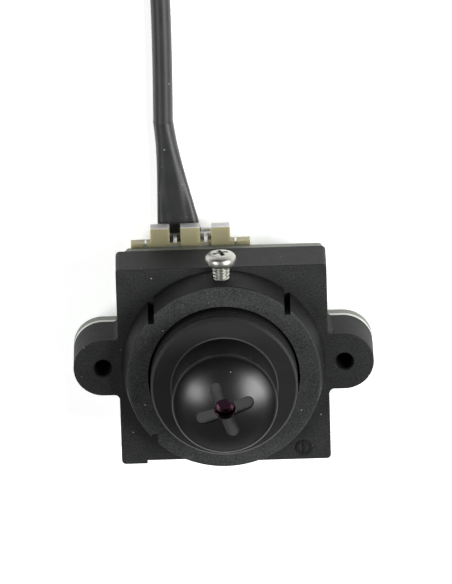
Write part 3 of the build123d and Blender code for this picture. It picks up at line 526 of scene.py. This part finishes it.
# ---- Board parts ----
# Moulded chips, aluminium capacitor cans, a ferrite inductor and tan ceramic capacitors, soldered to the back
# of the board.
resin = surface_of("chip_resin", (0.03, 0.03, 0.032), 0.55)
dress(resin, "processor_chip", "capacitor_bases", "voltage_regulator", "protection_diode", "chip_resistors")
can_metal = surface_of("can_metal", (0.8, 0.8, 0.8), 0.25, Metallic=1.0)
dress(can_metal, "capacitor_cans")
ferrite = surface_of("ferrite", (0.05, 0.05, 0.052), 0.6)
dress(ferrite, "power_inductor")
tan_ceramic = surface_of("tan_ceramic", (0.42, 0.30, 0.18), 0.4)
dress(tan_ceramic, "ceramic_capacitors")

# ---- Heat-shrink boots ----
# Black heat-shrink tube pulled over the four wires at each plug: flat there, shrunk round on to the cable,
# with the wires showing as faint ridges and a thin lip at its mouth. Made as rings joined end to end.


def link(name, mesh, finish, *nodes, slot, body):
    """Turns a finished bmesh, in millimetres, into a piece that stands for CAD nodes and rides on a body."""
    bmesh.ops.remove_doubles(mesh, verts=mesh.verts, dist=0.0004)
    bmesh.ops.recalc_face_normals(mesh, faces=mesh.faces)
    bmesh.ops.scale(mesh, vec=(mm, mm, mm), verts=mesh.verts)
    data = bpy.data.meshes.new(name)
    mesh.to_mesh(data)
    mesh.free()
    for one in finish if isinstance(finish, (list, tuple)) else [finish]:
        data.materials.append(one)
    piece = bpy.data.objects.new(name, data)
    bpy.context.collection.objects.link(piece)
    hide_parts(*nodes)
    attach(piece, body)
    return piece


def smooth(piece, angle=35):
    """Rounds the shading everywhere but on edges sharper than the angle."""
    for face in piece.data.polygons:
        face.use_smooth = True
    piece.data.set_sharp_from_angle(angle=radians(angle))


wire_pitch = 1.25


def boot(name, node, start, end, flat, waist, round_end):
    """A sleeve from a flat mouth to a round end; flat, waist and round_end are (share, width, thickness)."""
    mesh = bmesh.new()
    rings = []
    around = 48
    along = 22
    wall = 0.22
    ridge_height = 0.05
    lip_depth = 1.2
    end_depth = 0.6
    stations = [flat, *waist, round_end]
    for step in range(-2, along + 3):
        share = min(1.0, max(0.0, step / along))
        low = max(k for k in range(len(stations) - 1) if stations[k][0] <= share + 1e-9)
        a, b = stations[low], stations[low + 1]
        t = (share - a[0]) / (b[0] - a[0])
        width = a[1] + (b[1] - a[1]) * t
        thick = a[2] + (b[2] - a[2]) * t
        inset = wall if step < 0 or step > along else 0.0
        deep = share + (lip_depth / (end - start).length if step == -2 else 0)
        deep = deep - (end_depth / (end - start).length if step > along + 1 else 0)
        centre = start.lerp(end, deep)
        flatness = 1 - share
        ring = []
        for k in range(around):
            angle = 2 * pi * k / around
            power = 1 - 0.45 * flatness
            x = (width / 2 - inset) * abs(cos(angle)) ** power * (1 if cos(angle) >= 0 else -1)
            z = (thick / 2 - inset) * abs(sin(angle)) ** power * (1 if sin(angle) >= 0 else -1)
            ridge = 0
            if not inset:
                ridge = ridge_height * flatness * cos(2 * pi * x / wire_pitch + pi) * (1 if z >= 0 else -1)
            ring.append(mesh.verts.new((centre.x + x, centre.y, centre.z + z + ridge * abs(sin(angle)))))
        rings.append([mesh.edges.new((ring[k], ring[(k + 1) % around])) for k in range(around)])
    for one, other in zip(rings, rings[1:]):
        bmesh.ops.bridge_loops(mesh, edges=one + other)
    bmesh.ops.holes_fill(mesh, edges=[e for e in mesh.edges if e.is_boundary], sides=0)
    piece = link(name, mesh, shrink, node, slot="cable_sleeve", body="lead")
    smooth(piece)
    return piece


shrink = surface_of("heat_shrink", (0.020, 0.0205, 0.0215), 0.38, tone=0.25, tone_size=350.0, grain=0.008,
                    grain_size=3500.0, dust=0.03)
mouth_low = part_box("heat_shrink_boot")[0]
wires_low, wires_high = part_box("plug_wires")
near_mouth = Vector(((wires_low.x + wires_high.x) / 2, mouth_low.y, (wires_low.z + wires_high.z) / 2)) / mm
near_end = Vector((route[0][0], route[0][1] + 0.1, route[0][2]))
near_boot = boot("near_boot", "heat_shrink_boot", near_mouth, near_end, (0, 5.1, 1.5),
                 ((0.15, 4.6, 1.5), (0.3, 4.05, 1.6), (0.45, 3.5, 1.75), (0.62, 2.95, 2.0), (0.8, 2.5, 2.2)),
                 (1, 2.34, 2.34))
far_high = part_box("far_boot")[1]
far_wires_low, far_wires_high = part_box("far_wires")
far_middle = (far_wires_low + far_wires_high) / 2
far_mouth = Vector((far_middle.x, far_high.y, far_middle.z)) / mm
far_end = Vector((route[-1][0], route[-1][1] - 0.1, route[-1][2]))
far_boot = boot("far_boot_sleeve", "far_boot", far_mouth, far_end, (0, 5.1, 1.5), ((0.5, 3.7, 1.8),),
                (1, 2.4, 2.4))

# ---- Wire ends ----
# Four stranded wires in thin coloured insulation, crimped into the plug and seen only between it and the
# boot. Each is a round rod with eased ends.
wire_colours = [
    surface_of("wire_red", (0.45, 0.03, 0.02), 0.35, tone=0.1),
    surface_of("wire_black", (0.02, 0.02, 0.02), 0.35, tone=0.1),
    surface_of("wire_yellow", (0.62, 0.45, 0.04), 0.35, tone=0.1),
    surface_of("wire_white", (0.66, 0.66, 0.63), 0.35, tone=0.1),
]


def wire_ends(name, node):
    """Four round wires along Y with eased ends, one finish each, in the CAD wires' place."""
    low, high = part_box(node)
    mesh = bmesh.new()
    radius = (high.z - low.z) / 2 / mm
    for k in range(len(wire_colours)):
        made = bmesh.ops.create_cone(mesh, cap_ends=True, segments=24, radius1=radius, radius2=radius,
                                     depth=(high.y - low.y) / mm)
        middle = (low + high) / 2 / mm
        place = Vector((low.x / mm + radius + wire_pitch * k, middle.y, middle.z))
        bmesh.ops.transform(mesh, matrix=Matrix.Translation(place) @ Matrix.Rotation(pi / 2, 4, "X"),
                            verts=made["verts"])
        for face in {f for v in made["verts"] for f in v.link_faces}:
            face.material_index = k
    rims = [e for e in mesh.edges if len(e.link_faces) == 2 and e.calc_face_angle() > 1]
    bmesh.ops.bevel(mesh, geom=rims, offset=0.06, offset_type="OFFSET", segments=2, profile=0.5,
                    affect="EDGES", material=-1)
    piece = link(name, mesh, wire_colours, node, slot="wire_insulation", body="lead")
    smooth(piece)
    return piece


near_wires = wire_ends("near_wire_ends", "plug_wires")
far_wires = wire_ends("far_wire_ends", "far_wires")

# ---- Screws ----
# Nickel-plated steel machine screws: a pan head with a cross recess, and a rolled thread. The thread is a
# turned profile whose radius follows a helix; the recess is cut with a tapered cross.
plating = surface_of("nickel_plating", (0.38, 0.38, 0.345), 0.38, tone=0.2, tone_size=900.0, grain=0.003,
                     grain_size=4000.0, gloss_spread=0.25, Metallic=1.0)


def cross_screw(name, node, thread_radius, pitch, length, head_radius, head_height, places, body):
    """Pan-head screws built tip down about Z, then set at each placing matrix."""
    mesh = bmesh.new()
    rise = head_height
    steps = 48
    profile = [(0.0, length), (head_radius * 0.94, length), (head_radius, length + 0.08 * rise),
               (head_radius, length + 0.42 * rise), (head_radius * 0.985, length + 0.58 * rise),
               (head_radius * 0.93, length + 0.72 * rise), (head_radius * 0.82, length + 0.84 * rise),
               (head_radius * 0.6, length + 0.94 * rise), (head_radius * 0.3, length + 0.99 * rise),
               (0.0, length + rise)]
    verts = [mesh.verts.new((r, 0, z)) for r, z in profile]
    edges = [mesh.edges.new(pair) for pair in zip(verts, verts[1:])]
    bmesh.ops.spin(mesh, geom=verts + edges, cent=(0, 0, 0), axis=(0, 0, 1), angle=2 * pi, steps=steps,
                   use_merge=True)
    bmesh.ops.remove_doubles(mesh, verts=mesh.verts, dist=0.0004)
    bmesh.ops.recalc_face_normals(mesh, faces=mesh.faces)
    blank = bpy.data.meshes.new(name + "_blank")
    mesh.to_mesh(blank)
    mesh.free()
    thread = bmesh.new()
    rows_per_turn = 12
    groove_share = 0.42
    rows = int((length + 2 * pitch) / pitch * rows_per_turn)
    teeth = [0.5 - 0.5 * cos(2 * pi * k / rows_per_turn) for k in range(rows + 1)]
    verts = []
    for k, tooth in enumerate(teeth):
        radius = thread_radius - groove_share * pitch * (1 - tooth)
        verts.append(thread.verts.new((radius, 0, pitch * (k / rows_per_turn - 1))))
    edges = [thread.edges.new(pair) for pair in zip(verts, verts[1:])]
    bmesh.ops.spin(thread, geom=verts + edges, cent=(0, 0, 0), axis=(0, 0, 1), dvec=(0, 0, pitch / steps),
                   angle=2 * pi, steps=steps, use_merge=False)
    bmesh.ops.remove_doubles(thread, verts=thread.verts, dist=0.0004)
    for v in thread.verts:
        tip = min(1.0, 0.6 + max(0.0, v.co.z) / (2 * pitch))
        v.co = Vector((v.co.x * tip, v.co.y * tip, min(length + 0.05, max(0.0, v.co.z))))
    bmesh.ops.dissolve_degenerate(thread, edges=thread.edges, dist=0.0004)
    bmesh.ops.holes_fill(thread, edges=[e for e in thread.edges if e.is_boundary], sides=0)
    bmesh.ops.recalc_face_normals(thread, faces=thread.faces)
    shank = bpy.data.meshes.new(name + "_shank")
    thread.to_mesh(shank)
    thread.free()
    recess_span = 1.25
    recess_blade = 0.30
    recess_depth = 0.72
    cutter = bmesh.new()
    for quarter in (0, pi / 2):
        made = bmesh.ops.create_cube(cutter, size=1.0)
        for v in made["verts"]:
            taper = 1.0 if v.co.z > 0 else 0.35
            span = v.co.x * recess_span * head_radius * taper
            blade = v.co.y * recess_blade * head_radius * (0.7 + 0.3 * taper)
            v.co = Vector((span, blade, length + rise + (0.3 if v.co.z > 0 else -recess_depth * rise)))
        bmesh.ops.rotate(cutter, cent=(0, 0, 0), matrix=Matrix.Rotation(quarter, 3, "Z"), verts=made["verts"])
    tool = bpy.data.meshes.new(name + "_tool")
    cutter.to_mesh(tool)
    cutter.free()
    tool_object = bpy.data.objects.new(name + "_tool", tool)
    blank_object = bpy.data.objects.new(name + "_blank", blank)
    for thing in (tool_object, blank_object):
        bpy.context.collection.objects.link(thing)
    cut = blank_object.modifiers.new("recess", "BOOLEAN")
    cut.operation = "DIFFERENCE"
    cut.solver = "EXACT"
    cut.use_self = True
    cut.object = tool_object
    made = bpy.data.meshes.new_from_object(blank_object.evaluated_get(bpy.context.evaluated_depsgraph_get()))
    for thing in (tool_object, blank_object):
        bpy.data.objects.remove(thing)
    every = bmesh.new()
    for place in places:
        one = bmesh.new()
        one.from_mesh(made)
        one.from_mesh(shank)
        bmesh.ops.transform(one, matrix=place, verts=one.verts)
        scratch = bpy.data.meshes.new(name + "_placed")
        one.to_mesh(scratch)
        one.free()
        every.from_mesh(scratch)
    piece = link(name, every, plating, node, slot="plated_screw", body=body)
    smooth(piece, 50)
    return piece


screw_low, screw_high = (Vector(c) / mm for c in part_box("clamp_screw"))
screw_middle = (screw_low + screw_high) / 2
clamp_head = 1.4
cross_screw(
    "clamp_screw_threaded", "clamp_screw", 1.0, 0.4, screw_high.y - screw_low.y - clamp_head,
    (screw_high.x - screw_low.x) / 2, clamp_head,
    [Matrix.Translation((screw_middle.x, screw_low.y, screw_middle.z)) @ Matrix.Rotation(-pi / 2, 4, "X")
     @ Matrix.Rotation(radians(20), 4, "Z")], "clamp")
back_low, back_high = (Vector(c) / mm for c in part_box("board_screws"))
back_head = 1.2
back_head_radius = (back_high.y - back_low.y) / 2
back_x = back_high.x - back_head_radius
cross_screw(
    "board_screws_threaded", "board_screws", 0.85, 0.35, back_high.z - back_low.z - back_head,
    back_head_radius, back_head,
    [Matrix.Translation((side * back_x, 0, back_high.z)) @ Matrix.Rotation(pi, 4, "X")
     @ Matrix.Rotation(radians(30 + 25 * side), 4, "Z") for side in (-1, 1)], "camera")

# ---- Cable tie ----
# A small black nylon tie round the coil: a flat strap with rounded corners, a ratchet head on top and its
# cut end.
tie_black = surface_of("tie_black", (0.028, 0.028, 0.029), 0.38, tone=0.1)
tie_low, tie_high = (Vector(c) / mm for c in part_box("coil_tie"))
strap = bmesh.new()
strap_thickness = 0.3
strap_width = 2.5
ratchet_height = 1.8
corner_radius = 1.3
corner_steps = 8
loop_top = tie_high.z - ratchet_height
middle_x = (tie_low.x + tie_high.x) / 2
middle_y = (tie_low.y + tie_high.y) / 2
inner = []
outer = []
for corner, (sx, sz) in enumerate(((1, 1), (-1, 1), (-1, -1), (1, -1))):
    for k in range(corner_steps + 1):
        angle = pi / 2 * (corner + k / corner_steps)
        for ring, radius in ((outer, corner_radius), (inner, corner_radius - strap_thickness)):
            cx = middle_x + sx * ((tie_high.x - tie_low.x) / 2 - corner_radius)
            cz = (tie_low.z + loop_top) / 2 + sz * ((loop_top - tie_low.z) / 2 - corner_radius)
            ring.append((cx + radius * cos(angle), cz + radius * sin(angle)))
loops = []
for ring, y in ((outer, -1), (outer, 1), (inner, 1), (inner, -1)):
    row = [strap.verts.new((x, middle_y + y * strap_width / 2, z)) for x, z in ring]
    loops.append([strap.edges.new((row[k], row[(k + 1) % len(row)])) for k in range(len(row))])
for one, other in zip(loops, loops[1:] + loops[:1]):
    bmesh.ops.bridge_loops(strap, edges=one + other)
ratchet_middle = tie_high.z - ratchet_height / 2
cut_end_offset = 1.85
for size, place in (
    ((3.4, 3.1, ratchet_height), (middle_x, middle_y, ratchet_middle)),
    ((0.5, 2.2, strap_thickness), (middle_x - cut_end_offset, middle_y, ratchet_middle)),
):
    made = bmesh.ops.create_cube(strap, size=1.0)
    bmesh.ops.scale(strap, vec=size, verts=made["verts"])
    bmesh.ops.translate(strap, vec=place, verts=made["verts"])
    rims = list({e for v in made["verts"] for e in v.link_edges})
    bmesh.ops.bevel(strap, geom=rims, offset=0.1, offset_type="OFFSET", segments=3, profile=0.5,
                    affect="EDGES", material=-1)
coil_tie = link("coil_tie_strap", strap, tie_black, "coil_tie", slot="tie_nylon", body="lead")
smooth(coil_tie, 30)

# ---- Cord ----
# The cable is one cord 0.3 m long: it starts at the near boot, lies on the bench and is put away as a coil.
# The boots and plugs, the wires and the tie on it are gathered here in one list.
on_the_cord = [near_boot, near_wires, far_boot, far_wires, coil_tie]
on_the_cord += [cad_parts[n] for n in ("crimp_terminals", "plug_housing", "far_plug", "far_terminals")]
